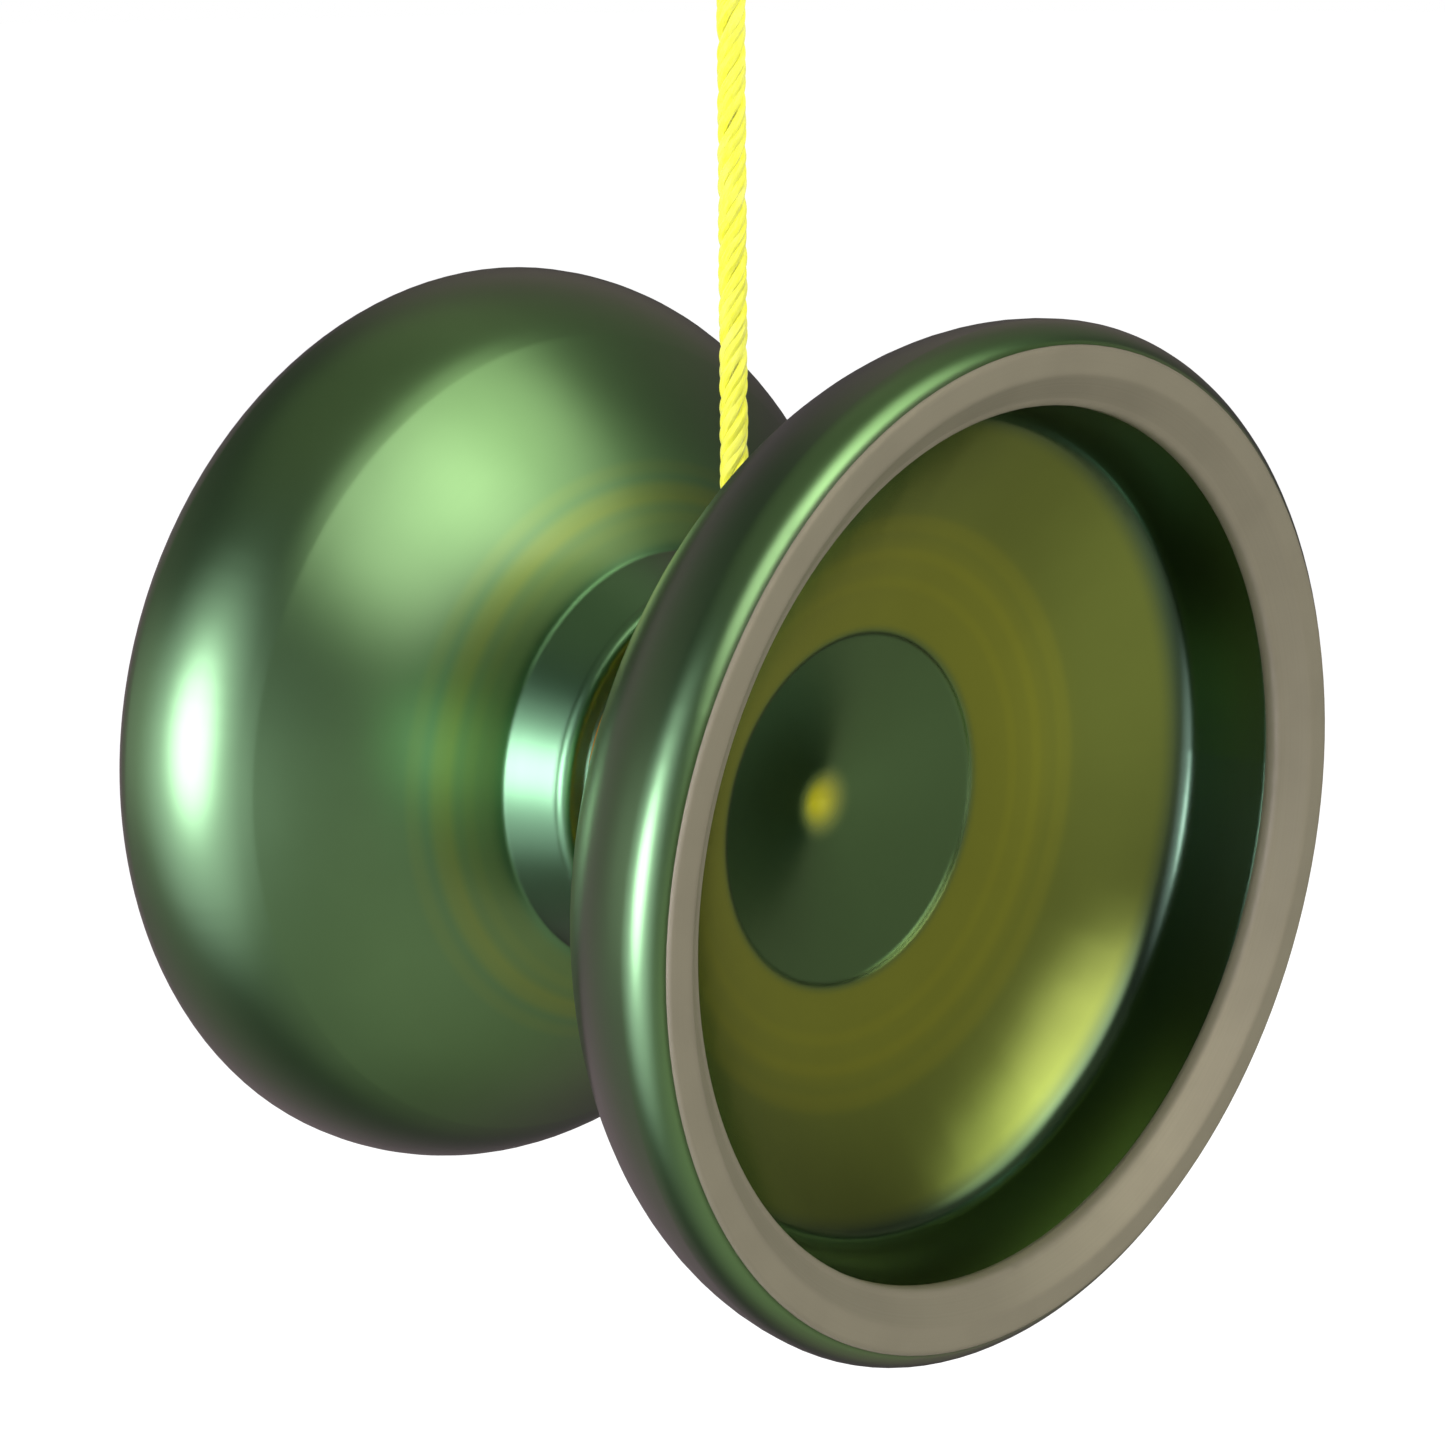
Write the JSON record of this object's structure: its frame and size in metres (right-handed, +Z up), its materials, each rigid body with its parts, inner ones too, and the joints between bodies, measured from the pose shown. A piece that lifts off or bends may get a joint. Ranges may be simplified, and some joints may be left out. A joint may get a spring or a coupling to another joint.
{
  "type": "yo-yo",
  "caption": "Ball-bearing yo-yo with flared metal halves and inset rim rings, hanging by a taut string from a finger loop.",
  "frame": {"origin": "centre of the finger loop that the yo-yo hangs from", "axes": "+Z up along the string, +Y along the spin axis towards the rear half, the front half on the -Y side"},
  "size_m": [0.055, 0.0438, 0.1048],
  "materials": {
    "anodised_green": "satin green anodising over fine turned lines",
    "rim_metal": "satin turned metal, warm grey",
    "silicone": "matt amber silicone",
    "bearing_steel": "ground and polished steel",
    "ball_steel": "polished",
    "cage_steel": "pressed sheet",
    "shield_steel": "pressed sheet",
    "spring_steel": "drawn wire",
    "axle_steel": "black oxide",
    "polyester": "twisted bright yellow polyester"
  },
  "bodies": {
    "string_side": {"string": "polyester", "axle_loop": "polyester", "slip_knot": "polyester", "finger_loop": "polyester", "bearing_outer_race": "bearing_steel", "front_bearing_shield": "shield_steel", "rear_bearing_shield": "shield_steel", "front_snap_ring": "spring_steel", "rear_snap_ring": "spring_steel"},
    "cage": {"front_cage_half": "cage_steel", "rear_cage_half": "cage_steel", "bearing_balls": "ball_steel"},
    "spinner": {"rear_half": "anodised_green", "rear_rim_ring": "rim_metal", "rear_response_pad": "silicone", "bearing_inner_race": "bearing_steel"},
    "axle_screw": {"axle": "axle_steel"},
    "front_side": {"front_half": "anodised_green", "front_rim_ring": "rim_metal", "front_response_pad": "silicone"}
  },
  "joints": [
    {"name": "spin", "type": "hinge", "parent": "string_side", "child": "spinner", "pos_m": [0, 0, -0.0657], "axis": [0, 1, 0], "continuous": true},
    {"name": "cage_spin", "type": "hinge", "parent": "string_side", "child": "cage", "pos_m": [0, 0, -0.0657], "axis": [0, 1, 0], "continuous": true},
    {"name": "unscrew_turn", "type": "hinge", "parent": "spinner", "child": "axle_screw", "pos_m": [0, 0, -0.0657], "axis": [0, -1, 0], "range_deg": [0, 2340]},
    {"name": "unscrew_travel", "type": "slide", "parent": "axle_screw", "child": "front_side", "axis": [0, -1, 0], "range_m": [0, 0.0046]}
  ],
  "couplings": [
    {"joint": "cage_spin", "follows": "spin", "ratio": 0.41664},
    {"joint": "unscrew_travel", "follows": "unscrew_turn", "m_per_rad": 0.00011141}
  ]
}
